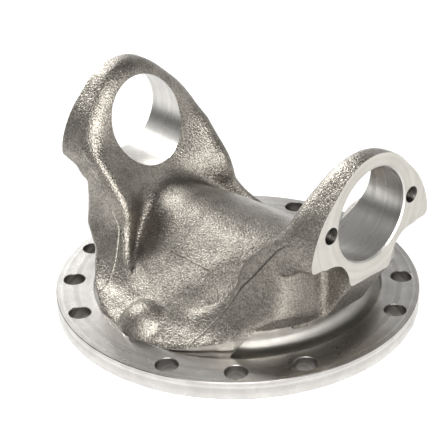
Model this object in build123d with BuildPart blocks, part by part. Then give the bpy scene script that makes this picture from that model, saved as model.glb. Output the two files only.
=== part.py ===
"""Forged flange yoke of a heavy driveline joint, one piece.

A round bolting flange carries a solid forged hub. Two ears stand on the hub, joined by a low
crowned saddle, and each ear holds one cross bore with a tapped hole on either side of it.
X runs along the bores, Y across them and Z up. Z = 0 is the flange's mounting face.
Lengths are in millimetres.
"""

import os
from math import cos, radians, sin, sqrt, tan

from build123d import *

# Flange
flange_radius = 101.6
flange_thickness = 10.0
rim_chamfer = 0.4
bolt_edge_distance = 9.525
bolt_hole_radius = 5.95
bolt_divisions = 16
quarters = 4

# Mounting face: a female pilot and the hollow above it
pilot_radius = 82.5
pilot_depth = 2.5
hollow_mouth_radius = 52.0
hollow_roof_radius = 36.0
hollow_height = 24.0
hollow_corner = 8.0

# Cross bores and the tapped holes beside them
bore_radius = 24.61
bore_height = 85.7
bore_chamfer = 0.8
ear_face_x = 95.85
tap_offset = 30.15
tap_radius = 4.25
tap_depth = 17.0
tap_chamfer = 0.6

# Ear outline, seen along the bore
ear_crown_radius = 32.3
ear_shoulder_angle = 45.0
ear_shoulder_run = 11.0
ear_half_width = 44.0
lug_top_drop = 10.5
lug_bottom_drop = 16.6
lug_half_width = 33.0
stem_half_width = 16.0
stem_bottom_drop = 35.3
stem_corner = 2.0

# Inner faces of the ears: a leaning flat above, a turned throat below
ear_inner_x = 72.0
ear_inner_lean = 16.5
throat_radius = 56.5
throat_height = 45.0
throat_shoulder_radius = 63.0
throat_shoulder_height = 62.5
throat_lean = 40.8
throat_foot_radius = 63.7
throat_foot_height = 20.0
throat_foot_overrun = 3.7

# Hub and legs below the ears
block_half_length = 79.0
block_radius = 88.0
lug_root_drop = 19.6
lug_root_run = 6.0
leg_top_height = 54.0
leg_waist = 22.0
leg_foot_half_width = 60.0
leg_foot_height = 6.0
foot_radius = 80.4
foot_height = 16.0
block_cone_height = 10.0

# Saddle between the ears, with the nose where it meets the flange
saddle_height = 53.0
saddle_radius = 45.0
saddle_slope = 32.0
flute_slope = 38.5
saddle_half_length = 62.0
front_top_half_width = 34.0
front_foot_half_width = 9.0
front_reach = 66.0
front_top_reach = 23.0
front_band_slope = 45.0
nose_reach = 82.4
nose_radius = 16.4
nose_height = 13.0

# Turned relief between the hub and the bolting ring
relief_wall_radius = 70.0
relief_depth = 1.0
relief_fillet = 7.2
relief_end_angle = 52.5
relief_end_lean = 37.0
foot_cut_offset = 9.4
foot_cut_radius = 83.4
foot_cut_height = 14.0
foot_cut_widening = 3.6

ridge_fillet = 5.0

bolt_circle_radius = flange_radius - bolt_edge_distance
ring_top = flange_thickness
past = 1.0


def radial_plane(angle, lean=0.0):
    """The plane through the origin and a direction at an angle from X, leaning from the upright."""
    a = radians(angle)
    tilt = radians(lean)
    normal = (sin(a) * cos(tilt), -cos(a) * cos(tilt), sin(tilt))
    return Plane(origin=(0, 0, 0), x_dir=(cos(a), sin(a), 0), z_dir=normal)


def crowned(slope):
    """Half of a crowned section across the saddle: a round top, then a straight slope down to Z = 0."""
    turn = radians(slope)
    top = CenterArc((0, saddle_height - saddle_radius), saddle_radius, 90, -slope)
    arc_end = top @ 1
    side = Line(arc_end, (arc_end.X + arc_end.Y / tan(turn), 0))
    Polyline(side @ 1, (0, 0), top @ 0)


def face_point(x, y):
    """The point of the saddle's front face that lies over a place in plan."""
    turn = radians(saddle_slope)
    arc_end = saddle_radius * sin(turn)
    centre = saddle_height - saddle_radius
    if y < arc_end:
        return Vector(x, y, centre + sqrt(saddle_radius**2 - y**2))
    return Vector(x, y, centre + saddle_radius * cos(turn) - (y - arc_end) * tan(turn))


def keep_below_ears(end_angle, end_lean):
    """Keep what lies within an angle of the bores' direction, on both sides of the hub."""
    split(bisect_by=Plane.YZ, keep=Keep.TOP)
    split(bisect_by=radial_plane(-end_angle, end_lean), keep=Keep.BOTTOM)
    split(bisect_by=radial_plane(end_angle, -end_lean), keep=Keep.TOP)
    mirror(about=Plane.YZ)

# What the ears' inner faces enclose: the leaning flats cut off by the turned throat.
with BuildPart() as valley:
    with BuildSketch(Plane.XZ) as throat:
        top = bore_height + ear_crown_radius + past
        lean = tan(radians(throat_lean))
        throat_top_radius = throat_shoulder_radius + (top - throat_shoulder_height) * lean
        # The throat's foot always comes out through the sides of the legs.
        throat_foot_reach = max(throat_foot_radius, leg_foot_half_width + throat_foot_overrun)
        with BuildLine():
            foot = TangentArc(
                (throat_radius, throat_height), (throat_foot_reach, throat_foot_height), tangent=(0, -1)
            )
            shoulder = TangentArc(
                (throat_radius, throat_height),
                (throat_shoulder_radius, throat_shoulder_height),
                tangent=(0, 1),
            )
            Polyline(
                shoulder @ 1, (throat_top_radius, top), (0, top), (0, throat_foot_height), foot @ 1
            )
        make_face()
    revolve(axis=Axis.Z)
    with BuildSketch(Plane.XZ) as flats:
        lean = tan(radians(ear_inner_lean))
        flat_top = ear_inner_x + (top - bore_height) * lean
        flat_foot = ear_inner_x - (bore_height - throat_foot_height) * lean
        with BuildLine():
            Polyline(
                (-flat_foot, throat_foot_height),
                (flat_foot, throat_foot_height),
                (flat_top, top),
                (-flat_top, top),
                close=True,
            )
        make_face()
    extrude(amount=throat_top_radius, both=True, mode=Mode.INTERSECT)

# The saddle that joins the ears, as wide as the round foot allows.
with BuildPart() as saddle:
    with BuildSketch(Plane.YZ) as saddle_section:
        with BuildLine():
            crowned(flute_slope)
        make_face()
        mirror(about=Plane.YZ)
    extrude(amount=saddle_half_length, both=True)
    with BuildSketch(Plane.XY) as saddle_plan:
        Circle(foot_radius)
    extrude(amount=saddle_height + past, mode=Mode.INTERSECT)

# The saddle's front and back faces: proud of the flutes beside the legs, and narrowing downwards. A
# sloping band runs down each side.
with BuildPart() as front_faces:
    with BuildSketch(Plane.YZ) as front_slope:
        with BuildLine():
            crowned(saddle_slope)
        make_face()
    extrude(amount=front_top_half_width)
    band_top = face_point(front_top_half_width, front_top_reach)
    band_edge = face_point(front_foot_half_width, front_reach) - band_top
    turn = radians(front_band_slope)
    outwards = Vector(band_edge.Y, -band_edge.X, 0).normalized()
    down = outwards * sin(turn) - Vector(0, 0, cos(turn))
    split(bisect_by=Plane(band_top, band_edge, band_edge.cross(down)), keep=Keep.TOP)
    split(bisect_by=Plane.XZ.offset(-front_reach), keep=Keep.TOP)
    mirror(about=Plane.YZ)
    mirror(about=Plane.XZ)
    # A rounded nose closes each face at the flange.
    nose_centre = nose_reach - nose_radius
    nose_curve = (nose_radius**2 + nose_height**2) / (2 * nose_height)
    with BuildSketch(Plane.YZ) as nose:
        with BuildLine():
            foot = (nose_reach, ring_top)
            tip = (nose_centre, ring_top + nose_height)
            RadiusArc(foot, tip, -nose_curve)
            Polyline(tip, (nose_centre, 0), (nose_reach, 0), foot)
        make_face()
    revolve(axis=Axis((0, nose_centre, 0), (0, 0, 1)))
    mirror(about=Plane.XZ)

# Relief machined between the ring and the hub below each ear, as deep as the hub's round rim. Its
# ends lean, so the two feet between the reliefs grow wider upwards.
with BuildPart() as relief:
    with BuildSketch(Plane.XZ) as groove:
        floor = ring_top - relief_depth
        foot_top = ring_top + foot_height
        with BuildLine():
            root = RadiusArc(
                (relief_wall_radius, floor + relief_fillet),
                (relief_wall_radius + relief_fillet, floor),
                -relief_fillet,
            )
            Polyline(
                root @ 0,
                (relief_wall_radius, foot_top),
                (foot_radius + past, foot_top),
                (foot_radius + past, ring_top),
                (foot_radius, ring_top),
                (foot_radius, floor),
                root @ 1,
            )
        make_face()
    revolve(axis=Axis.Z)
    keep_below_ears(relief_end_angle, relief_end_lean)

# Beyond the ends of the relief its floor runs out as a crescent, below feet that lean inwards.
with BuildPart() as foot_cut:
    with BuildSketch(Plane.XZ) as foot_ring:
        Rectangle(foot_radius, foot_cut_height, align=Align.MIN)
        with Locations((0, relief_depth)):
            Rectangle(foot_radius + past, foot_cut_height - relief_depth, align=Align.MIN)
    revolve(axis=Axis.Z)
    Cylinder(
        relief_wall_radius + relief_fillet,
        foot_cut_height,
        align=(Align.CENTER, Align.CENTER, Align.MIN),
        mode=Mode.SUBTRACT,
    )
    with Locations((-foot_cut_offset, 0)):
        Cone(
            foot_cut_radius,
            foot_cut_radius + foot_cut_widening,
            foot_cut_height,
            align=(Align.CENTER, Align.CENTER, Align.MIN),
            mode=Mode.SUBTRACT,
        )
    mirror(about=Plane.YZ)

with BuildPart() as flange_yoke:
    # Ears, legs and feet as seen along the bore, taken the whole length of the yoke.
    with BuildSketch(Plane.YZ) as front_outline:
        with BuildLine():
            crown = CenterArc((0, bore_height), ear_crown_radius, 90, -ear_shoulder_angle)
            shoulder = PolarLine(crown @ 1, ear_shoulder_run, -ear_shoulder_angle)
            lug_top = (ear_half_width, bore_height - lug_top_drop)
            lug = TangentArc(shoulder @ 1, lug_top, tangent=shoulder % 1)
            wall = Line(lug @ 1, (ear_half_width, leg_top_height))
            flare = Bezier(
                wall @ 1,
                (ear_half_width, leg_top_height - leg_waist),
                (leg_foot_half_width, ring_top + leg_foot_height),
                (foot_radius, ring_top),
            )
            Polyline(flare @ 1, (foot_radius, 0), (0, 0), crown @ 0)
        make_face()
        mirror(about=Plane.YZ)
    extrude(amount=ear_face_x, both=True)

    # The same body seen from the side: the hub's ends and the sloping undersides of the lugs.
    with BuildSketch(Plane.XZ) as side_outline:
        with BuildLine():
            lug_root = bore_height - lug_root_drop
            Polyline(
                (0, 0),
                (block_half_length, 0),
                (block_half_length, lug_root - lug_root_run),
                (block_half_length + lug_root_run, lug_root),
                (ear_face_x, bore_height - lug_bottom_drop),
                (ear_face_x, top),
                (0, top),
                close=True,
            )
        make_face()
        mirror(about=Plane.YZ)
    extrude(amount=foot_radius + past, both=True, mode=Mode.INTERSECT)

    # Round hub: the foot stands inside the ring and a cone opens above it.
    with BuildSketch(Plane.XZ) as collar:
        with BuildLine():
            Polyline(
                (foot_radius, foot_top),
                (block_radius, foot_top + block_cone_height),
                (block_radius, lug_root - lug_root_run),
                (flange_radius + ear_half_width, lug_root - lug_root_run),
                (flange_radius + ear_half_width, 0),
                (foot_radius, 0),
                close=True,
            )
        make_face()
    revolve(axis=Axis.Z, mode=Mode.SUBTRACT)

    # Stem under each bore, with arches that run out into the lugs.
    with BuildSketch(Plane.YZ) as stem_outline:
        stem_bottom = bore_height - stem_bottom_drop
        lug_bottom = bore_height - lug_bottom_drop
        arch = lug_half_width - stem_half_width
        with BuildLine():
            arc = CenterArc((lug_half_width, lug_bottom - arch), arch, 90, 90)
            Polyline(
                arc @ 1,
                (stem_half_width - stem_corner, stem_bottom),
                (0, stem_bottom),
                (0, lug_bottom + past),
                (lug_half_width, lug_bottom + past),
                arc @ 0,
            )
        make_face()
        mirror(about=Plane.YZ)
    extrude(amount=ear_face_x, both=True)
    with BuildSketch(Plane.XZ) as gusset:
        with BuildLine():
            Polyline(
                (0, foot_top),
                (foot_radius, foot_top),
                (ear_face_x, stem_bottom),
                (ear_face_x, stem_bottom + past),
                (0, stem_bottom + past),
                close=True,
            )
        make_face()
        mirror(about=Plane.YZ)
    extrude(amount=stem_half_width - stem_corner, both=True)

    # Open the valley, then lay the saddle, its two front faces and the noses into it.
    add(valley.part, mode=Mode.SUBTRACT)
    fillet(flange_yoke.edges(Select.NEW), ridge_fillet)
    add(saddle.part)
    add(front_faces.part)

    # Bolting flange, turned all over.
    with BuildSketch(Plane.XZ) as disc:
        with BuildLine():
            Polyline(
                (0, 0),
                (flange_radius - rim_chamfer, 0),
                (flange_radius, rim_chamfer),
                (flange_radius, ring_top - rim_chamfer),
                (flange_radius - rim_chamfer, ring_top),
                (0, ring_top),
                close=True,
            )
        make_face()
    revolve(axis=Axis.Z)

    # Machined relief round the hub.
    add(relief.part, mode=Mode.SUBTRACT)
    with Locations((0, 0, floor)):
        add(foot_cut.part, mode=Mode.SUBTRACT)

    # Cross bores, chamfered at the outer faces, and the tapped holes beside them.
    with BuildSketch(Plane.XZ) as bore:
        with BuildLine():
            Polyline(
                (0, bore_height),
                (0, bore_height + bore_radius),
                (ear_face_x - bore_chamfer, bore_height + bore_radius),
                (ear_face_x + past, bore_height + bore_radius + bore_chamfer + past),
                (ear_face_x + past, bore_height),
                close=True,
            )
        make_face()
        mirror(about=Plane.YZ)
    revolve(axis=Axis((0, 0, bore_height), (1, 0, 0)), mode=Mode.SUBTRACT)
    for side in (-1, 1):
        ear_face = Plane(
            origin=(side * ear_face_x, 0, bore_height), x_dir=(0, side, 0), z_dir=(side, 0, 0)
        )
        with Locations(ear_face):
            with Locations((-tap_offset, 0), (tap_offset, 0)):
                CounterSinkHole(tap_radius, tap_radius + tap_chamfer, tap_depth)

    # Underside: the pilot, and the forged hollow with its rounded roof edge.
    with BuildSketch(Plane.XZ) as pilot:
        Rectangle(pilot_radius, pilot_depth, align=Align.MIN)
    revolve(axis=Axis.Z, mode=Mode.SUBTRACT)
    with BuildSketch(Plane.XZ) as hollow:
        with BuildLine():
            side = FilletPolyline(
                (hollow_mouth_radius, 0),
                (hollow_roof_radius, hollow_height),
                (0, hollow_height),
                radius=hollow_corner,
            )
            Polyline(side @ 1, (0, 0), side @ 0)
        make_face()
    revolve(axis=Axis.Z, mode=Mode.SUBTRACT)

    # Bolt holes on a sixteen-part circle, with none at the four quarter points.
    for step in range(bolt_divisions):
        if step % (bolt_divisions // quarters):
            outwards = radial_plane(step * 360 / bolt_divisions).x_dir
            with Locations(outwards * bolt_circle_radius):
                Cylinder(
                    bolt_hole_radius,
                    flange_thickness,
                    align=(Align.CENTER, Align.CENTER, Align.MIN),
                    mode=Mode.SUBTRACT,
                )

flange_yoke.part.label = "flange_yoke"
os.makedirs("parts", exist_ok=True)
export_step(flange_yoke.part, "parts/flange_yoke.step")
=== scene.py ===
import bpy
import numpy as np
from mathutils import Matrix, Vector


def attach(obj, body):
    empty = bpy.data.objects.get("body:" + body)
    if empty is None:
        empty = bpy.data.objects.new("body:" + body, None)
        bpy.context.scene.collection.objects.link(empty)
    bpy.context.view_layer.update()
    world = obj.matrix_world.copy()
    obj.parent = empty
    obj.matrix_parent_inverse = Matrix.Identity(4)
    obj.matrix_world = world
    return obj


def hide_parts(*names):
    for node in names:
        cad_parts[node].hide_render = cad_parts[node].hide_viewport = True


# Forged yoke: the skin of the forging is worked out as a field on a grid, displaced by its scale and
# grain, and then cut by turned tools, as the real one is machined. Shapes are in millimetres until
# makeMesh turns them into metres.
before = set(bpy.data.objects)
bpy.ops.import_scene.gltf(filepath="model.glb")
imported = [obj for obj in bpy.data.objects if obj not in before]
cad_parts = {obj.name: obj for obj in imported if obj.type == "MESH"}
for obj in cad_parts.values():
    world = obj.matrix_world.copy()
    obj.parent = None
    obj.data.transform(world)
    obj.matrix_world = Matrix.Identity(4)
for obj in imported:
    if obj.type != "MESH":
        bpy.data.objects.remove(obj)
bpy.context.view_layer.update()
mm = 0.001

# The forging's outlines: seen along the bores, from the side, from above, and the roundings between them.
forging = {
    "step": 1.15, "reach": (102.5, 85.5, 121.0), "floor": 5.0,
    "crownRadius": 32.3, "crownTurn": 45.0, "shoulderRun": 11.0, "earHalfWidth": 44.0,
    "lugTopDrop": 10.5, "lugBottomDrop": 16.6, "lugHalfWidth": 33.0, "lugRootDrop": 19.6, "lugRootRun": 6.0,
    "stemHalfWidth": 15.0, "stemBottomDrop": 35.3, "stemFootHeight": 15.0,
    "legTop": 54.0, "legWaist": 22.0, "footHalfWidth": 60.0, "footFlare": 6.0,
    "footRadius": 80.4, "footHeight": 16.0,
    "blockLength": 79.0, "blockRadius": 88.0, "coneHeight": 10.0,
    "throatRadius": 56.5, "throatHeight": 45.0, "throatFootRadius": 63.7, "throatFootHeight": 12.0,
    "throatFootPast": 2.0,
    "throatShoulderRadius": 63.0, "throatShoulderHeight": 62.5, "throatLean": 40.8,
    "innerFace": 72.0, "innerLean": 16.5,
    "saddleHeight": 53.0, "saddleRadius": 45.0, "faceSlope": 32.0, "saddleLength": 66.0,
    "fluteDepths": ((8.0, 40.0, 60.0, 68.0), (0.0, 5.5, 6.0, 2.0)),
    "faceTop": (34.0, 23.0), "faceFoot": (9.0, 66.0), "bandSlope": 26.0, "bandRound": 5.0, "fluteRound": 3.0,
    "noseCentre": 66.0, "noseRadius": 16.84, "noseDrop": 3.84,
    "ridgeRounds": ((20.0, 42.0, 75.0), (4.0, 14.0, 10.0)),  # heights, and the widths of the rounding there
    "saddleRounds": ((20.0, 50.0), (3.0, 8.0)),
    "edgeRound": 3.5, "stemRound": 4.0, "faceRound": 5.0, "noseRound": 2.5, "gussetRound": 3.0,
    "saddleEndRound": 2.0, "saddleFootRound": 3.0,
    # how far the outlines run past the skin, and how much smaller than its gap each arch is
    "earPast": 3.0, "crownPast": 45.0, "low": -20.0, "archPast": 8.0, "archGap": 1.0,
    "grains": ((9.0, 0.2), (3.4, 0.1), (1.9, 0.1)),  # size and depth of the scale left by forging
}
machining = {
    "flangeRadius": 101.6, "ringTop": 10.0, "rimChamfer": 0.4, "pilotRadius": 82.5, "pilotDepth": 2.5,
    "floorDrop": 1.0, "neckRadius": 70.0, "neckFillet": 7.2, "neckEnd": 52.5, "neckLean": 37.0,
    "crescentOffset": 9.4, "crescentRadius": 83.4, "crescentHeight": 14.0, "crescentWidening": 3.6,
    "hollowMouth": 52.0, "hollowRoof": 36.0, "hollowHeight": 24.0, "hollowCorner": 8.0,
    "boltEdgeDistance": 9.525, "boltRadius": 5.95, "boltParts": 16, "boltSkip": 4, "boltBreak": 0.35,
    "boreRadius": 24.61, "boreHeight": 85.7, "boreChamfer": 0.8, "earFace": 95.85,
    "tongueAngle": -19.6, "tongueHalfWidth": 4.9, "tongueDeep": 6.0, "tongueLow": 22.6, "tongueHigh": 29.0,
    "tongueRadius": 78.4,
    "lathe": 288, "boreLathe": 144, "holeLathe": 48, "sharpAngle": 32.0,
    # how far the tools run past what they cut
    "past": 5.0, "wide": 20.0, "clear": 0.02, "far": 250.0, "coneDown": 10.0, "coneUp": 20.0,
    "sideReach": 200.0, "sideLow": 50.0, "sideHeight": 300.0,
}
taps = {
    "offset": 30.15, "radius": 3.75, "threadDepth": 0.5, "pitch": 1.058, "length": 16.0, "mouth": 0.2,
    "lathe": 32, "stepsPerTurn": 8, "above": 2.0, "lift": 1.0,
}


# Points on a circle: the centre plus the radius turned evenly from one angle to the other.
def arcPoints(centre, radius, first, last, count):
    a = np.radians(np.linspace(first, last, count))
    return np.stack([centre[0] + radius * np.cos(a), centre[1] + radius * np.sin(a)], 1)


# Cubic curve: four points mixed by the powers of t and of one minus t.
def curvePoints(points, count):
    t = np.linspace(0, 1, count)[:, None]
    a, b, c, d = np.array(points, float)
    return (1 - t)**3 * a + 3 * (1 - t)**2 * t * b + 3 * (1 - t) * t**2 * c + t**3 * d


# The circle through two points that leaves the first along a direction: its centre lies square to the
# direction, at half the squared chord over the chord's part along that square.
def tangentPoints(first, last, along, count):
    p, q = np.array(first, float), np.array(last, float)
    side = np.array([-along[1], along[0]]) / np.hypot(*along)
    radius = (q - p) @ (q - p) / (2 * (q - p) @ side)
    centre = p + side * radius
    a, b = [np.arctan2(v[1], v[0]) for v in (p - centre, q - centre)]
    if radius > 0 and b < a:
        b += 2 * np.pi
    if radius < 0 and b > a:
        b -= 2 * np.pi
    turn = np.linspace(a, b, count)
    return centre + abs(radius) * np.stack([np.cos(turn), np.sin(turn)], 1)


# Distance to a closed outline: the least distance to its sides, negative where a ray crosses it an odd
# number of times.
def outlineDistance(x, y, outline):
    shape = np.broadcast(x, y).shape
    x, y = [np.broadcast_to(v, shape).ravel()[:, None] for v in (x, y)]
    a = np.array(outline, float)
    a = a[np.hypot(*(a - np.roll(a, 1, 0)).T) > 1e-6]
    b = np.roll(a, -1, 0)
    e = b - a
    t = np.clip(((x - a[:, 0]) * e[:, 0] + (y - a[:, 1]) * e[:, 1]) / (e**2).sum(1), 0, 1)
    near = np.hypot(x - a[:, 0] - t * e[:, 0], y - a[:, 1] - t * e[:, 1]).min(1)
    tall = np.where(e[:, 1] == 0, 1e-9, e[:, 1])
    crossed = ((a[:, 1] > y) != (b[:, 1] > y)) & (x < a[:, 0] + (y - a[:, 1]) / tall * e[:, 0])
    return np.where(crossed.sum(1) % 2 == 1, -near, near).reshape(shape)


# An outline closed by its mirror image: the half, then the half with x turned over, in reverse order.
def bothSides(half):
    half = np.array(half, float)
    return np.concatenate([half, (half * (-1, 1))[::-1]])


# The larger of two distances, rounded over a width where they are alike: their mix plus width h (1 - h).
def larger(a, b, width):
    h = np.clip(0.5 + 0.5 * (a - b) / width, 0, 1)
    return b + (a - b) * h + width * h * (1 - h)


# The smaller of two distances, rounded alike: less the larger of their opposites.
def smaller(a, b, width):
    return -larger(-a, -b, width)


# A turned shape: the outline's distance in radius and height, read at each point's radius.
def turnedDistance(radius, z, outline, step=0.5):
    steps = np.arange(0, radius.max() + 2 * step, step)
    table = outlineDistance(steps[:, None], z.ravel()[None, :], bothSides(outline))
    low = np.floor(radius / step).astype(int)
    part = (radius / step - low)[:, :, None]
    return table[low] * (1 - part) + table[low + 1] * part


# A crowned section: distance to a circle within the slope's angle, and to its tangent line beyond it.
def crownedDistance(y, z, height, radius, slope):
    turn = np.radians(slope)
    centre = height - radius
    line = (y - radius * np.sin(turn)) * np.sin(turn) + (z - centre - radius * np.cos(turn)) * np.cos(turn)
    onArc = (np.arctan2(y, np.maximum(z - centre, 1e-6)) < turn) & (z > centre)
    return np.where(onArc, np.hypot(y, z - centre) - radius, line)


# Distance from the forging's skin on a quarter grid, x along the bores and y across them, both from 0:
# the outlines seen along the bore, from the side and from above are joined by rounded largest and
# smallest distances.
def forgingDistance(x, y, z, s, m):
    bore = m["boreHeight"]
    ring = m["ringTop"]
    outside = m["earFace"] + s["earPast"]
    high = bore + s["crownPast"]
    low = s["low"]
    r = np.hypot(x, y)[:, :, 0]
    across = (y[0], z[0])
    beside = (x[:, :, 0], z[0])

    turn = np.radians(s["crownTurn"])
    crown = arcPoints((0, bore), s["crownRadius"], 90, 90 - s["crownTurn"], count=24)
    shoulder = crown[-1] + s["shoulderRun"] * np.array([np.cos(turn), -np.sin(turn)])
    lugTop = (s["earHalfWidth"], bore - s["lugTopDrop"])
    lug = tangentPoints(shoulder, lugTop, (np.cos(turn), -np.sin(turn)), count=12)
    flare = curvePoints([(s["earHalfWidth"], s["legTop"]), (s["earHalfWidth"], s["legTop"] - s["legWaist"]),
                         (s["footHalfWidth"], ring + s["footFlare"]), (s["footRadius"], ring)], count=24)
    legs = bothSides(np.concatenate([crown, lug, flare, [(s["footRadius"], low)]]))
    legs = outlineDistance(*across, legs)[None]

    lugRoot = bore - s["lugRootDrop"]
    rootEnd = s["blockLength"] + s["lugRootRun"]
    rise = (s["lugRootDrop"] - s["lugBottomDrop"]) / (m["earFace"] - rootEnd)
    ends = outlineDistance(*beside, bothSides([
        (s["blockLength"], low), (s["blockLength"], lugRoot - s["lugRootRun"]), (rootEnd, lugRoot),
        (outside, lugRoot + rise * (outside - rootEnd)), (outside, high), (0, high)]))[:, None, :]

    footTop = ring + s["footHeight"]
    hub = turnedDistance(r, z, [
        (0, low), (s["footRadius"], low), (s["footRadius"], footTop),
        (s["blockRadius"], footTop + s["coneHeight"]), (s["blockRadius"], lugRoot - s["lugRootRun"]),
        (2 * outside, lugRoot - s["lugRootRun"]), (2 * outside, high), (0, high)])
    body = larger(larger(legs, ends, s["edgeRound"]), hub, s["edgeRound"])

    lugBottom = bore - s["lugBottomDrop"]
    arch = s["lugHalfWidth"] - s["stemHalfWidth"] - s["archGap"]
    archCurve = arcPoints((s["lugHalfWidth"], lugBottom - arch), arch, 90, 180, count=16)
    stem = outlineDistance(*across, bothSides(np.concatenate([
        [(s["lugHalfWidth"], lugBottom + s["archPast"])], archCurve,
        [(s["stemHalfWidth"], s["stemFootHeight"])]])))[None]
    stemBottom = bore - s["stemBottomDrop"]
    under = (stemBottom - footTop) / (m["earFace"] - s["footRadius"])
    gusset = outlineDistance(*beside, bothSides([
        (s["footRadius"], footTop), (outside, footTop + under * (outside - s["footRadius"])),
        (outside, bore), (0, bore), (0, footTop)]))[:, None, :]
    body = smaller(body, larger(stem, gusset, s["gussetRound"]), s["stemRound"])

    waist = (s["throatRadius"], s["throatHeight"])
    foot = tangentPoints(waist, (s["throatFootRadius"], s["throatFootHeight"]), (0, -1), count=16)
    shoulderEnd = (s["throatShoulderRadius"], s["throatShoulderHeight"])
    shoulder = tangentPoints(waist, shoulderEnd, (0, 1), count=12)
    throatRise = 2 * high - s["throatShoulderHeight"]
    topRadius = s["throatShoulderRadius"] + throatRise * np.tan(np.radians(s["throatLean"]))
    throat = turnedDistance(r, z, np.concatenate([
        [(0, low), (s["throatFootRadius"] + s["throatFootPast"], low)], foot[::-1], shoulder[1:],
        [(topRadius, 2 * high), (0, 2 * high)]]))
    lean = np.radians(s["innerLean"])
    flat = (x - s["innerFace"] - (z - bore) * np.tan(lean)) * np.cos(lean)
    body = larger(body, -larger(throat, flat, s["faceRound"]), np.interp(z, *s["ridgeRounds"]))

    face = crownedDistance(y, z, s["saddleHeight"], s["saddleRadius"], s["faceSlope"])
    flute = face + np.interp(y, *s["fluteDepths"])
    (tx, ty), (bx, by) = s["faceTop"], s["faceFoot"]
    wedge = ((x - tx) * (by - ty) + (y - ty) * (tx - bx)) / np.hypot(by - ty, tx - bx)
    turn = np.radians(s["bandSlope"])
    band = face * np.cos(turn) + wedge * np.sin(turn)
    saddle = larger(face, smaller(band, flute, s["fluteRound"]), s["bandRound"])
    saddle = larger(saddle, x - s["saddleLength"], s["saddleEndRound"])
    saddle = larger(saddle, r[:, :, None] - s["footRadius"], s["saddleFootRound"])
    nose = np.sqrt(x**2 + (y - s["noseCentre"])**2 + (z - ring + s["noseDrop"])**2) - s["noseRadius"]
    saddle = smaller(saddle, nose, s["noseRound"])
    body = smaller(body, saddle, np.interp(z, *s["saddleRounds"]))

    return np.maximum(body, s["floor"] - z)


# One point in each cell that the skin crosses, at the mean of the crossings of its edges, and one face
# round each crossed edge, turned to look outwards.
def skinMesh(field, low, step):
    cells = np.array(field.shape) - 1
    inside = field < 0
    ids, places, faces = [], [], []
    for axis in range(3):
        first = [slice(None)] * 3
        last = [slice(None)] * 3
        first[axis], last[axis] = slice(0, -1), slice(1, None)
        first, last = tuple(first), tuple(last)
        crossed = inside[first] != inside[last]
        at = np.argwhere(crossed)
        a, b = field[first][crossed], field[last][crossed]
        place = at.astype(float)
        place[:, axis] += a / (a - b)
        u, v = [k for k in range(3) if k != axis]
        ring = []
        for du, dv in ((0, 0), (1, 0), (1, 1), (0, 1)):
            cell = at.copy()
            cell[:, u] -= du
            cell[:, v] -= dv
            ring.append(np.ravel_multi_index(cell.T, cells))
            ids.append(ring[-1])
            places.append(place)
        ring = np.stack(ring, 1)
        turned = (a < 0) == (axis == 1)
        faces.append(np.where(turned[:, None], ring[:, ::-1], ring))
    ids, places = np.concatenate(ids), np.concatenate(places)
    used, where = np.unique(ids, return_inverse=True)
    count = np.bincount(where)
    points = np.stack([np.bincount(where, places[:, k]) / count for k in range(3)], 1)
    return points * step + low, np.searchsorted(used, np.concatenate(faces))


# A piece from points in millimetres and faces, at the origin and unturned: each point times mm.
def makeMesh(name, points, faces, material=None):
    mesh = bpy.data.meshes.new(name)
    faces = faces.tolist() if isinstance(faces, np.ndarray) else faces
    mesh.from_pydata((np.asarray(points) * mm).tolist(), [], faces)
    mesh.update()
    if material:
        mesh.materials.append(material)
    obj = bpy.data.objects.new(name, mesh)
    bpy.context.scene.collection.objects.link(obj)
    return obj


# Smooth random values in space: a repeating lattice of random numbers, read between its points by an
# easing curve along each axis.
def latticeNoise(points, size, seed, cells=32):
    values = np.random.default_rng(seed).random((cells, cells, cells)) * 2 - 1
    q = points / size
    low = np.floor(q).astype(int)
    part = q - low
    part = part * part * (3 - 2 * part)
    total = np.zeros(len(points))
    for corner in np.ndindex(2, 2, 2):
        share = np.prod(np.where(corner, part, 1 - part), 1)
        i, j, k = ((low + corner) % cells).T
        total += share * values[i, j, k]
    return total


# The forging's skin: the quarter mirrored twice, meshed, and each point moved inwards along its normal by
# the sum of depth times (1 + noise) / 2 over the sizes of scale.
def makeForging(s, m, material):
    axes = [np.arange(0, reach, s["step"]) for reach in s["reach"][:2]]
    z = np.arange(s["floor"] - s["step"], s["reach"][2], s["step"])
    quarter = forgingDistance(axes[0][:, None, None], axes[1][None, :, None], z[None, None, :], s, m)
    half = np.concatenate([quarter[:0:-1], quarter])
    field = np.concatenate([half[:, :0:-1], half], 1)
    low = np.array([-axes[0][-1], -axes[1][-1], z[0]])
    points, faces = skinMesh(field, low, s["step"])
    piece = makeMesh("forging", points, faces, material)
    normals = np.empty(len(points) * 3)
    piece.data.vertices.foreach_get("normal", normals)
    depth = sum(deep * (1 + latticeNoise(points, size, k)) / 2 for k, (size, deep) in enumerate(s["grains"]))
    points = (points - normals.reshape(-1, 3) * depth[:, None]) * mm
    piece.data.vertices.foreach_set("co", points.ravel())
    piece.data.update()
    print("forging skin:", len(points), "points")
    return piece


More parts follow.
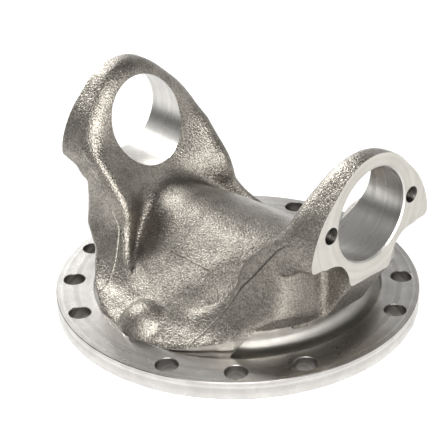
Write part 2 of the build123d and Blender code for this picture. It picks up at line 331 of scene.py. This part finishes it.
# A turned solid: each profile point carried round the axis in even steps, with the ends on the axis closed.
# Z is the axis, or X where it is asked for. A profile that runs clockwise is turned round first.
def turnedSolid(name, profile, count, material=None, centre=(0, 0, 0), axis="Z"):
    profile = np.array(profile, float)
    after = np.roll(profile, -1, 0)
    if (profile[:, 0] * after[:, 1] - after[:, 0] * profile[:, 1]).sum() < 0:
        profile = profile[::-1]
    a = np.arange(count) * 2 * np.pi / count
    ringed = profile[:, 0] > 1e-6
    rings = [np.stack([r * np.cos(a), r * np.sin(a), np.full(count, h)], 1) if ring else [(0, 0, h)]
             for (r, h), ring in zip(profile, ringed)]
    starts = np.cumsum([0] + [len(ring) for ring in rings])
    i = np.arange(count)
    j = (i + 1) % count
    faces = []
    for k in range(len(profile)):
        n = (k + 1) % len(profile)
        one, two = starts[k], starts[n]
        if ringed[k] and ringed[n]:
            faces += np.stack([one + i, one + j, two + j, two + i], 1).tolist()
        elif ringed[k]:
            faces += np.stack([one + i, one + j, np.full(count, two)], 1).tolist()
        elif ringed[n]:
            faces += np.stack([np.full(count, one), two + j, two + i], 1).tolist()
    points = np.concatenate(rings)
    if axis == "X":
        points = points[:, [2, 0, 1]]
    return makeMesh(name, points + np.array(centre), faces, material)


# Eight corners and six faces, from an origin and three edges that form a right hand.
def blockSolid(name, origin, edges, material=None):
    corners = [np.array(origin, float) + np.dot(corner, edges) for corner in np.ndindex(2, 2, 2)]
    faces = [(0, 1, 3, 2), (4, 6, 7, 5), (0, 4, 5, 1), (2, 3, 7, 6), (0, 2, 6, 4), (1, 5, 7, 3)]
    return makeMesh(name, corners, faces, material)


# The target takes the tool's shape and, where it is cut, the tool's material. The tool is then deleted.
def combine(target, tool, how):
    change = target.modifiers.new(how, "BOOLEAN")
    change.operation = how
    change.solver = "MANIFOLD"
    change.material_mode = "TRANSFER"
    change.object = tool
    seen = target.evaluated_get(bpy.context.evaluated_depsgraph_get())
    mesh = bpy.data.meshes.new_from_object(seen)
    target.modifiers.clear()
    old = target.data
    target.data = mesh
    bpy.data.meshes.remove(old)
    bpy.data.meshes.remove(tool.data)


# The flange: a square rim turned round the axis with the pilot below, both edges then broken at 45 degrees
# by a tool whose material they take (the darker drilled steel, painted shade along the broken edges).
def makeFlange(m, material, edgeMaterial):
    rim, chamfer, ring, past = m["flangeRadius"], m["rimChamfer"], m["ringTop"], m["past"]
    flange = turnedSolid("flange", [
        (0, m["pilotDepth"]), (m["pilotRadius"], m["pilotDepth"]), (m["pilotRadius"], 0), (rim, 0),
        (rim, ring), (0, ring)], m["lathe"], material)
    for edge, turn in ((ring, 1), (0, -1)):
        profile = [(rim - chamfer - past, edge + turn * past), (rim + past, edge + turn * past),
                   (rim + past, edge - turn * (chamfer + past))]
        combine(flange, turnedSolid("chamfer", profile, m["lathe"], edgeMaterial), "DIFFERENCE")
    return flange


# The hollow under the hub: a line from the mouth to the roof and an arc that meets both, turned.
def hollowTool(m, material):
    mouth, roof = np.array([m["hollowMouth"], 0]), np.array([m["hollowRoof"], m["hollowHeight"]])
    wall = (mouth - roof) / np.hypot(*(mouth - roof))
    cut = m["hollowCorner"] * np.tan(np.arccos(wall[0]) / 2)
    corner = tangentPoints(roof - (cut, 0), roof + wall * cut, (1, 0), count=10)
    profile = np.concatenate([[(0, m["hollowHeight"])], corner, [mouth + wall * m["past"], (0, -m["past"])]])
    return turnedSolid("hollow", profile, m["lathe"], material)


# What lies on the other ear's side of the middle: a block from there to far beyond the flange.
def halfBlock(m, material, side):
    far = m["far"]
    start = (-far if side > 0 else 0, -far, -far)
    return blockSolid("half", start, np.diag((far, 2 * far, 2 * far)), material)


# A groove's profile turned, without the half below the other ear and without what lies beyond a leaning
# plane on each side: the plane's normal, one direction along it and the one square to both span a block.
def neckTool(s, m, material, side):
    ring, neck, fillet = m["ringTop"], m["neckRadius"], m["neckFillet"]
    floor, top = ring - m["floorDrop"], ring + s["footHeight"]
    foot, wide, clear = s["footRadius"], s["footRadius"] + m["wide"], ring + m["clear"]
    root = arcPoints((neck + fillet, floor + fillet), fillet, 270, 180, count=10)
    profile = np.concatenate([root, [(neck, top), (wide, top), (wide, clear), (foot, clear), (foot, floor)]])
    tool = turnedSolid("neck", profile, m["lathe"], material)
    far = m["far"]
    a, tilt = np.radians(m["neckEnd"]), np.radians(m["neckLean"])
    for turn in (-1, 1):
        away = np.array([-side * np.sin(a) * np.cos(tilt), turn * np.cos(a) * np.cos(tilt), np.sin(tilt)])
        along = np.cross(away, (0, 0, 1))
        along /= np.hypot(*along[:2])
        edges = np.array([along, np.cross(away, along), away])
        sizes = ((2 * far,), (2 * far,), (far,))
        beyond = blockSolid("beyond", -far * (edges[0] + edges[1]), edges * sizes, material)
        combine(tool, beyond, "DIFFERENCE")
    combine(tool, halfBlock(m, material, side), "DIFFERENCE")
    return tool


# The crescent in front of the feet: a turned ring that starts where the neck's fillet ends, less a cone that
# stands off the axis and less the half below the other ear.
def crescentTool(s, m, material, side):
    ring, floor, foot = m["ringTop"], m["ringTop"] - m["floorDrop"], s["footRadius"]
    low, top = m["neckRadius"] + m["neckFillet"], floor + m["crescentHeight"]
    wide, clear = foot + m["wide"], ring + m["clear"]
    tool = turnedSolid("crescent", [
        (low, floor), (foot, floor), (foot, clear), (wide, clear), (wide, top), (low, top)],
        m["lathe"], material)
    grow = m["crescentWidening"] / m["crescentHeight"]
    radius, down, up = m["crescentRadius"], m["coneDown"], m["coneUp"]
    cone = turnedSolid("cone", [
        (0, floor - down), (radius - down * grow, floor - down), (radius + up * grow, floor + up),
        (0, floor + up)], m["lathe"], material, (-side * m["crescentOffset"], 0, 0))
    combine(tool, cone, "DIFFERENCE")
    combine(tool, halfBlock(m, material, side), "DIFFERENCE")
    return tool


# Both cross bores at once: a cylinder along X that widens at 45 degrees at each ear's face.
def boreTool(m, material):
    r, c, face, past = m["boreRadius"], m["boreChamfer"], m["earFace"], m["past"]
    profile = [(0, -face - past), (r + c + past, -face - past), (r, -face + c), (r, face - c),
               (r + c + past, face + past), (0, face + past)]
    return turnedSolid("bore", profile, m["boreLathe"], material, (0, 0, m["boreHeight"]), "X")


# A bolt hole on its circle: the radius times the cosine and sine of its angle, both mouths broken.
def boltTool(m, material, angle):
    e, ring, r, past = m["boltBreak"], m["ringTop"], m["boltRadius"], m["past"]
    circle = m["flangeRadius"] - m["boltEdgeDistance"]
    profile = [(0, -past), (r + e + past, -past), (r, e), (r, ring - e), (r + e + past, ring + past),
               (0, ring + past)]
    centre = (circle * np.cos(angle), circle * np.sin(angle), 0)
    return turnedSolid("bolt", profile, m["holeLathe"], material, centre)


# A threaded hole as a solid: the radius goes up and down with the depth less the turn's share of the
# pitch, opens at the mouth, and closes on the axis in a drill point.
def tapTool(t, m, material, side, offset):
    rows = int(t["length"] / t["pitch"] * t["stepsPerTurn"])
    above, tip = -t["above"], t["length"] + t["radius"] / 2
    depth = np.concatenate([[above, above], np.linspace(-t["lift"], t["length"], rows), [tip]])
    turn = np.arange(t["lathe"]) / t["lathe"]
    wave = np.abs(((depth[:, None] / t["pitch"] - turn) % 1) * 2 - 1)
    r = t["radius"] + t["threadDepth"] * wave
    r = np.maximum(r, t["radius"] + t["threadDepth"] + t["mouth"] - np.maximum(depth, -t["lift"])[:, None])
    r[[0, -1]] = 0
    a = turn * 2 * np.pi * side
    along = np.broadcast_to(side * (m["earFace"] - depth[:, None]), r.shape)
    points = np.stack([along, offset + r * np.cos(a), m["boreHeight"] + r * np.sin(a)], 2)
    body = points[1:-1].reshape(-1, 3)
    w = t["lathe"]
    k = np.arange(w)
    n = (k + 1) % w
    row = np.arange(len(depth) - 3)[:, None] * w
    faces = np.stack([row + w + k, row + w + n, row + n, row + k], 2).reshape(-1, 4).tolist()
    end = len(body) - w
    faces += np.stack([np.full(w, len(body)), k, n], 1).tolist()
    faces += np.stack([np.full(w, len(body) + 1), end + n, end + k], 1).tolist()
    return makeMesh("tap", np.concatenate([body, points[0, :1], points[-1, :1]]), faces, material)


# A metal whose constant values stand on the shader's own sockets.
def newMaterial(name, s):
    material = bpy.data.materials.new(name)
    material.use_nodes = True
    shader = material.node_tree.nodes["Principled BSDF"]
    shader.inputs["Metallic"].default_value = s["metallic"]
    shader.inputs["Anisotropic"].default_value = s.get("anisotropic", 0.0)
    return material, material.node_tree.nodes, material.node_tree.links, shader


# A new node, with each setting given put on it.
def addNode(nodes, kind, **settings):
    node = nodes.new(kind)
    for key, value in settings.items():
        setattr(node, key, value)
    return node


# One sum or product of numbers and sockets, in the order given.
def mathNode(nodes, links, operation, *inputs):
    node = addNode(nodes, "ShaderNodeMath", operation=operation)
    for slot, value in zip(node.inputs, inputs):
        if isinstance(value, (int, float)):
            slot.default_value = value
        else:
            links.new(value, slot)
    return node.outputs[0]


# Noise in space that repeats about once in a size given in millimetres.
def noiseNode(nodes, links, where, size, detail=2.0, rough=0.5):
    node = addNode(nodes, "ShaderNodeTexNoise")
    node.inputs["Scale"].default_value = 1 / (size * mm)
    node.inputs["Detail"].default_value = detail
    node.inputs["Roughness"].default_value = rough
    links.new(where, node.inputs["Vector"])
    return node.outputs["Fac"]


# A straight line through two points (value, result), held beyond them.
def rampNode(nodes, links, value, low, high):
    node = addNode(nodes, "ShaderNodeMapRange")
    node.inputs["From Min"].default_value, node.inputs["From Max"].default_value = low[0], high[0]
    node.inputs["To Min"].default_value, node.inputs["To Max"].default_value = low[1], high[1]
    links.new(value, node.inputs["Value"])
    return node.outputs["Result"]


# The low colour times one minus the value, plus the high colour times the value.
def mixColours(nodes, links, value, low, high):
    node = addNode(nodes, "ShaderNodeMix", data_type="RGBA")
    node.inputs[6].default_value = (*low, 1)
    node.inputs[7].default_value = (*high, 1)
    links.new(value, node.inputs[0])
    return node.outputs[2]


# A normal tilted by the slope of a height, whose full range is a distance in millimetres.
def bumpNode(nodes, links, height, distance, under=None):
    node = addNode(nodes, "ShaderNodeBump")
    node.inputs["Distance"].default_value = distance * mm
    links.new(height, node.inputs["Height"])
    if under:
        links.new(under, node.inputs["Normal"])
    return node.outputs["Normal"]


# The seam colour is painted shade: the dark of the near flash line's sunk crease.
forgedSteel = {
    "metallic": 0.95, "dark": (0.15, 0.138, 0.12), "pale": (0.36, 0.334, 0.29), "seamShade": (0.05, 0.046, 0.04),
    "patchSize": 14.0, "grainSize": 1.05, "fineSize": 0.5, "grainDepth": 0.42, "fineDepth": 0.16,
    "roughLow": 0.22, "roughHigh": 0.36, "patchShare": 0.4, "shadeRange": (0.36, 0.62),
    "fineRange": (0.3, 0.7),
    "lineAcross": 42.5, "lineWidth": 1.0, "lineHeight": 0.55,
    "creaseAt": -37.6, "creaseWidth": 0.45, "creaseMiddle": 5.0, "creaseReach": 20.0, "creaseFade": 3,
    "creaseHeight": 0.25,
    "lineSpan": 100.0,
    # half of x plus z, half of z less x
    "lineRun": ((24, -12), (27, -10), (31.75, -8.25), (38.75, -5.75), (45, -3), (53, -2), (61, -1), (69, 0),
                (75.5, 0.5), (84, -1), (90, -5)),
}


# The flash line left by the dies on the outer sides of the legs: each point's distance from a curve, which
# is read along half the sum of x and z and gives half their difference.
def flashLine(nodes, links, where, s):
    part = addNode(nodes, "ShaderNodeSeparateXYZ")
    links.new(where, part.inputs[0])
    x, y = [mathNode(nodes, links, "ABSOLUTE", part.outputs[k]) for k in (0, 1)]
    span = s["lineSpan"] * mm
    both = mathNode(nodes, links, "ADD", x, part.outputs[2])
    run = mathNode(nodes, links, "MULTIPLY", both, 0.5 / span)
    apart = mathNode(nodes, links, "SUBTRACT", part.outputs[2], x)
    curve = addNode(nodes, "ShaderNodeFloatCurve")
    points = curve.mapping.curves[0].points
    for k, (along, off) in enumerate(s["lineRun"]):
        place = (along / s["lineSpan"], 0.5 + off / s["lineSpan"])
        if k < 2:
            points[k].location = place
        else:
            points.new(*place)
    curve.mapping.update()
    links.new(run, curve.inputs["Value"])
    aim = mathNode(nodes, links, "MULTIPLY_ADD", curve.outputs[0], 2 * span, -span)
    gap = mathNode(nodes, links, "ABSOLUTE", mathNode(nodes, links, "SUBTRACT", apart, aim))
    line = rampNode(nodes, links, gap, (0, 1), (s["lineWidth"] * mm, 0))
    side = rampNode(nodes, links, y, (s["lineAcross"] * mm, 0), ((s["lineAcross"] + 1) * mm, 1))
    near = rampNode(nodes, links, part.outputs[0], (-mm, 0), (mm, 1))
    return mathNode(nodes, links, "MULTIPLY", line, side), near


# A fine crease across the front face: full at one y, gone at its width from there and past its ends in x.
def creaseLine(nodes, links, where, s):
    part = addNode(nodes, "ShaderNodeSeparateXYZ")
    links.new(where, part.inputs[0])
    across = mathNode(nodes, links, "SUBTRACT", part.outputs[1], s["creaseAt"] * mm)
    gap = mathNode(nodes, links, "ABSOLUTE", across)
    along = mathNode(nodes, links, "SUBTRACT", part.outputs[0], s["creaseMiddle"] * mm)
    far = mathNode(nodes, links, "ABSOLUTE", along)
    line = rampNode(nodes, links, gap, (0, 1), (s["creaseWidth"] * mm, 0))
    fade = (s["creaseReach"] - s["creaseFade"]) * mm
    ends = rampNode(nodes, links, far, (fade, 1), (s["creaseReach"] * mm, 0))
    return mathNode(nodes, links, "MULTIPLY", line, ends)


# Blasted forging scale: two sizes of pitting as bump, grain by grain roughness, slow patches of colour, and
# painted shade along the near leg's flash line.
def makeForgedSteel(s):
    material, nodes, links, shader = newMaterial("forgedSteel", s)
    where = addNode(nodes, "ShaderNodeTexCoord").outputs["Object"]
    patches = noiseNode(nodes, links, where, s["patchSize"], detail=4.0, rough=0.6)
    grain = noiseNode(nodes, links, where, s["grainSize"], detail=1.5, rough=0.5)
    fine = noiseNode(nodes, links, where, s["fineSize"], detail=2.0, rough=0.6)
    shade = mathNode(nodes, links, "ADD", mathNode(nodes, links, "MULTIPLY", patches, s["patchShare"]),
                     mathNode(nodes, links, "MULTIPLY", grain, 1 - s["patchShare"]))
    line, near = flashLine(nodes, links, where, s)
    # Painted shade: on the near ear's side the flash line is darkened to the seam colour, which stands in
    # for the shade in its crease.
    seamShade = addNode(nodes, "ShaderNodeMix", data_type="RGBA")
    links.new(mathNode(nodes, links, "MULTIPLY", line, near), seamShade.inputs[0])
    (low, high), (fineLow, fineHigh) = s["shadeRange"], s["fineRange"]
    tone = rampNode(nodes, links, shade, (low, 0), (high, 1))
    links.new(mixColours(nodes, links, tone, s["dark"], s["pale"]), seamShade.inputs[6])
    seamShade.inputs[7].default_value = (*s["seamShade"], 1)
    links.new(seamShade.outputs[2], shader.inputs["Base Color"])
    rough = rampNode(nodes, links, fine, (fineLow, s["roughHigh"]), (fineHigh, s["roughLow"]))
    links.new(rough, shader.inputs["Roughness"])
    # raised by one on the far ear's side, sunk by one on the near ear's side
    raised = mathNode(nodes, links, "MULTIPLY_ADD", near, -2, 1)
    flash = bumpNode(nodes, links, mathNode(nodes, links, "MULTIPLY", line, raised), s["lineHeight"])
    crease = bumpNode(nodes, links, creaseLine(nodes, links, where, s), -s["creaseHeight"], flash)
    coarse = bumpNode(nodes, links, grain, s["grainDepth"], crease)
    links.new(bumpNode(nodes, links, fine, s["fineDepth"], coarse), shader.inputs["Normal"])
    return material


# Turned steel: fine lines that depend only on the distance from the axis or along it, and highlights
# drawn out round the axis by a tangent that is the axis crossed with the place.
def makeTurnedSteel(name, s):
    material, nodes, links, shader = newMaterial(name, s)
    where = addNode(nodes, "ShaderNodeTexCoord").outputs["Object"]
    fromCentre = addNode(nodes, "ShaderNodeVectorMath", operation="SUBTRACT")
    links.new(where, fromCentre.inputs[0])
    fromCentre.inputs[1].default_value = Vector(s["centre"]) * mm
    tangent = addNode(nodes, "ShaderNodeVectorMath", operation="CROSS_PRODUCT")
    tangent.inputs[0].default_value = s["axis"]
    links.new(fromCentre.outputs[0], tangent.inputs[1])
    links.new(tangent.outputs[0], shader.inputs["Tangent"])
    radius = addNode(nodes, "ShaderNodeVectorMath", operation="LENGTH")
    links.new(tangent.outputs[0], radius.inputs[0])
    along = addNode(nodes, "ShaderNodeVectorMath", operation="DOT_PRODUCT")
    links.new(fromCentre.outputs[0], along.inputs[0])
    along.inputs[1].default_value = s["axis"]
    place = mathNode(nodes, links, "ADD", radius.outputs["Value"], along.outputs["Value"])
    lines = addNode(nodes, "ShaderNodeTexNoise", noise_dimensions="1D")
    lines.inputs["Scale"].default_value = 1 / (s["lineSize"] * mm)
    lines.inputs["Detail"].default_value = 3.0
    links.new(place, lines.inputs["W"])
    bands = addNode(nodes, "ShaderNodeTexNoise", noise_dimensions="1D")
    bands.inputs["Scale"].default_value = 1 / (s["bandSize"] * mm)
    links.new(place, bands.inputs["W"])
    smudge = noiseNode(nodes, links, where, s["smudgeSize"], detail=3.0, rough=0.55)
    shade = mathNode(nodes, links, "ADD", mathNode(nodes, links, "MULTIPLY", bands.outputs["Fac"], 0.5),
                     mathNode(nodes, links, "MULTIPLY", smudge, 0.5))
    (low, high), (roughFrom, roughTo) = s["shadeRange"], s["roughRange"]
    tone = rampNode(nodes, links, shade, (low, 0), (high, 1))
    links.new(mixColours(nodes, links, tone, s["dark"], s["pale"]), shader.inputs["Base Color"])
    rough = rampNode(nodes, links, shade, (roughFrom, s["roughHigh"]), (roughTo, s["roughLow"]))
    links.new(rough, shader.inputs["Roughness"])
    links.new(bumpNode(nodes, links, lines.outputs["Fac"], s["lineDepth"]), shader.inputs["Normal"])
    return material


turned = {
    "metallic": 1.0, "anisotropic": 0.8, "centre": (0, 0, 0), "axis": (0, 0, 1), "dark": (0.5, 0.48, 0.455),
    "pale": (0.66, 0.645, 0.62), "lineSize": 0.35, "bandSize": 3.0, "smudgeSize": 9.0, "lineDepth": 0.003,
    "roughLow": 0.24, "roughHigh": 0.36, "shadeRange": (0.35, 0.65), "roughRange": (0.3, 0.7),
}
bored = {**turned, "centre": (0, 0, machining["boreHeight"]), "axis": (1, 0, 0), "lineSize": 0.5,
         "roughLow": 0.26, "roughHigh": 0.34, "anisotropic": 0.6,
         "dark": (0.5, 0.485, 0.46), "pale": (0.62, 0.605, 0.58)}
faced = {**bored, "roughLow": 0.28, "roughHigh": 0.34, "anisotropic": 0.3, "lineDepth": 0.01,
         "dark": (0.46, 0.44, 0.4), "pale": (0.55, 0.53, 0.48)}
# Painted shade: drilled steel is a darker copy of the turned steel, for the shade inside the bolt holes and
# on the broken rim edges.
shadedDrilled = {**turned, "anisotropic": 0.0, "roughLow": 0.3, "roughHigh": 0.4,
           "dark": (0.16, 0.15, 0.14), "pale": (0.34, 0.32, 0.3)}
# Painted shade: necked steel is a darker copy of the turned steel, dimming the bright reflection in the
# turned groove round the hub.
shadedNecked = {**turned, "roughLow": 0.36, "roughHigh": 0.46,
          "dark": (0.27, 0.26, 0.24), "pale": (0.36, 0.345, 0.32)}
# Painted shade: tapped steel is nearly black, the shade deep in the threaded holes.
shadedTapped = {**shadedDrilled, "dark": (0.025, 0.023, 0.02), "pale": (0.07, 0.065, 0.06)}

forgedSkin = makeForgedSteel(forgedSteel)
turnedSkin = makeTurnedSteel("turnedSteel", turned)
boredSkin = makeTurnedSteel("boredSteel", bored)
facedSkin = makeTurnedSteel("facedSteel", faced)
shadedDrilledSkin = makeTurnedSteel("shadedDrilledSteel", shadedDrilled)
shadedNeckedSkin = makeTurnedSteel("shadedNeckedSteel", shadedNecked)
shadedTappedSkin = makeTurnedSteel("shadedTappedSteel", shadedTapped)
print("materials ready")


# A small tongue of the forging that hangs below the hub in front of the turned wall: a block square to
# the radius.
def tongue(m, material):
    a = np.radians(m["tongueAngle"])
    out, along = np.array([np.cos(a), np.sin(a), 0]), np.array([-np.sin(a), np.cos(a), 0])
    deep, half = m["tongueDeep"], m["tongueHalfWidth"]
    low, high = m["tongueLow"], m["tongueHigh"]
    start = out * (m["tongueRadius"] - deep) - along * half + np.array([0, 0, low])
    edges = np.array([out * deep, along * 2 * half, (0, 0, high - low)])
    return blockSolid("tongue", start, edges, material)


# The whole yoke: the forging, cut flat at the ears' faces, joined to the flange, and then cut by each tool.
def makeYoke(s, m, t):
    piece = makeForging(s, m, forgedSkin)
    face = m["earFace"]
    sides = np.diag((2 * face, 2 * m["sideReach"], m["sideHeight"]))
    corner = (-face, -m["sideReach"], -m["sideLow"])
    combine(piece, blockSolid("faces", corner, sides, facedSkin), "INTERSECT")
    combine(piece, makeFlange(m, turnedSkin, shadedDrilledSkin), "UNION")
    combine(piece, hollowTool(m, forgedSkin), "DIFFERENCE")
    for side in (1, -1):
        combine(piece, neckTool(s, m, shadedNeckedSkin, side), "DIFFERENCE")
        combine(piece, crescentTool(s, m, shadedNeckedSkin, side), "DIFFERENCE")
    combine(piece, tongue(m, forgedSkin), "UNION")
    combine(piece, boreTool(m, boredSkin), "DIFFERENCE")
    for k in range(m["boltParts"]):
        if k % m["boltSkip"]:
            combine(piece, boltTool(m, shadedDrilledSkin, 2 * np.pi * k / m["boltParts"]), "DIFFERENCE")
    for side in (1, -1):
        for offset in (-t["offset"], t["offset"]):
            combine(piece, tapTool(t, m, shadedTappedSkin, side, offset), "DIFFERENCE")
    piece.data.polygons.foreach_set("use_smooth", np.ones(len(piece.data.polygons), bool))
    piece.data.set_sharp_from_angle(angle=np.radians(m["sharpAngle"]))
    print("yoke:", len(piece.data.polygons), "faces, materials", [m.name for m in piece.data.materials])
    return piece


yoke = makeYoke(forging, machining, taps)
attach(yoke, "root")
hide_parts("flange_yoke")

studio = {
    "floorSize": 6.0, "floorColour": (0.62, 0.62, 0.62), "floorGlow": 0.42, "floorRough": 0.9,
    "floorSpecular": 0.1, "card": (-0.65, -0.75, 0.05), "cardColour": (0.06, 0.06, 0.06),
    "cardRange": (0.86, 0.97), "horizon": (1.0, 1.0, 1.0), "zenith": (0.12, 0.12, 0.12),
    "zenithRange": (0.4, 0.85), "strength": 0.8,
}


# A pale floor and a world that darkens from the horizon to the zenith, with one dark patch that the bores
# reflect. Camera rays see white. Both fade along a straight line between the two values of their range.
def makeStudio(s):
    corners = np.array([(-1, -1, 0), (1, -1, 0), (1, 1, 0), (-1, 1, 0)]) * s["floorSize"] / 2 / mm
    floor = makeMesh("floor", corners, [(0, 1, 2, 3)])
    material = bpy.data.materials.new("paleFloor")
    material.use_nodes = True
    shader = material.node_tree.nodes["Principled BSDF"]
    shader.inputs["Base Color"].default_value = (*s["floorColour"], 1)
    shader.inputs["Roughness"].default_value = s["floorRough"]
    shader.inputs["Specular IOR Level"].default_value = s["floorSpecular"]
    shader.inputs["Emission Color"].default_value = (1, 1, 1, 1)
    nodes, links = material.node_tree.nodes, material.node_tree.links
    path = addNode(nodes, "ShaderNodeLightPath")
    seen = mathNode(nodes, links, "MAXIMUM", path.outputs["Is Camera Ray"], path.outputs["Is Glossy Ray"])
    seen = mathNode(nodes, links, "MAXIMUM", seen, path.outputs["Is Transmission Ray"])
    links.new(mathNode(nodes, links, "MULTIPLY", seen, s["floorGlow"]), shader.inputs["Emission Strength"])
    floor.data.materials.append(material)
    world = bpy.data.worlds.new("studio")
    world.use_nodes = True
    nodes, links = world.node_tree.nodes, world.node_tree.links
    direction = addNode(nodes, "ShaderNodeTexCoord").outputs["Generated"]
    height = addNode(nodes, "ShaderNodeSeparateXYZ")
    links.new(direction, height.inputs[0])
    (low, high), (cardFrom, cardTo) = s["zenithRange"], s["cardRange"]
    upwards = rampNode(nodes, links, height.outputs["Z"], (low, 0), (high, 1))
    colour = mixColours(nodes, links, upwards, s["horizon"], s["zenith"])
    toCard = addNode(nodes, "ShaderNodeVectorMath", operation="DOT_PRODUCT")
    links.new(direction, toCard.inputs[0])
    toCard.inputs[1].default_value = Vector(s["card"]).normalized()
    card = addNode(nodes, "ShaderNodeMix", data_type="RGBA")
    links.new(rampNode(nodes, links, toCard.outputs["Value"], (cardFrom, 0), (cardTo, 1)), card.inputs[0])
    links.new(colour, card.inputs[6])
    card.inputs[7].default_value = (*s["cardColour"], 1)
    links.new(card.outputs[2], nodes["Background"].inputs["Color"])
    nodes["Background"].inputs["Strength"].default_value = s["strength"]
    white = addNode(nodes, "ShaderNodeBackground")
    white.inputs["Color"].default_value = (1, 1, 1, 1)
    chosen = addNode(nodes, "ShaderNodeMixShader")
    links.new(addNode(nodes, "ShaderNodeLightPath").outputs["Is Camera Ray"], chosen.inputs[0])
    links.new(nodes["Background"].outputs[0], chosen.inputs[1])
    links.new(white.outputs[0], chosen.inputs[2])
    links.new(chosen.outputs[0], nodes["World Output"].inputs["Surface"])
    bpy.context.scene.world = world


# Each lamp's place in metres, its width and height, and its energy.
lamps = {
    "right": ((0.95, -0.35, 0.4), (0.6, 0.7), 9),
    "front": ((0.48, -0.5, 0.85), (0.75, 0.5), 9),
    "top": ((-0.82, 0.04, 0.66), (0.35, 0.35), 6.5),
    "back": ((-1.0, 0.42, 0.32), (0.45, 0.35), 2.2),
}
lampAim = Vector((0, 0, 0.05))


# A soft lamp: a rectangle that faces the yoke along the line from its place to the aim.
def makeLamp(name, place, size, energy):
    data = bpy.data.lights.new(name, "AREA")
    data.shape = "RECTANGLE"
    data.size, data.size_y = size
    data.energy = energy
    lamp = bpy.data.objects.new(name, data)
    lamp.location = place
    lamp.rotation_euler = (lampAim - Vector(place)).to_track_quat("-Z", "Y").to_euler()
    bpy.context.scene.collection.objects.link(lamp)


makeStudio(studio)
for lampName, lampSettings in lamps.items():
    makeLamp(lampName, *lampSettings)
print("studio ready")

camera = {
    "place": (453.83, -439.97, 388.48),
    "right": (0.69566, 0.71809, -0.02007), "up": (-0.33003, 0.34429, 0.87895),
    "back": (0.63807, -0.60482, 0.47650),
    "imageWidth": 447, "focalPixels": 1305.24, "sensor": 36.0,
}


# The camera: its lens is the focal length in pixels times the sensor's width over the image's.
def makeCamera(s):
    data = bpy.data.cameras.new("camera")
    data.sensor_width = s["sensor"]
    data.lens = s["focalPixels"] * s["sensor"] / s["imageWidth"]
    cam = bpy.data.objects.new("camera", data)
    turn = Matrix((s["right"], s["up"], s["back"])).transposed()
    cam.matrix_world = Matrix.Translation(Vector(s["place"]) * mm) @ turn.to_4x4()
    bpy.context.scene.collection.objects.link(cam)
    bpy.context.scene.camera = cam


makeCamera(camera)
bpy.context.scene.view_settings.view_transform = "Standard"
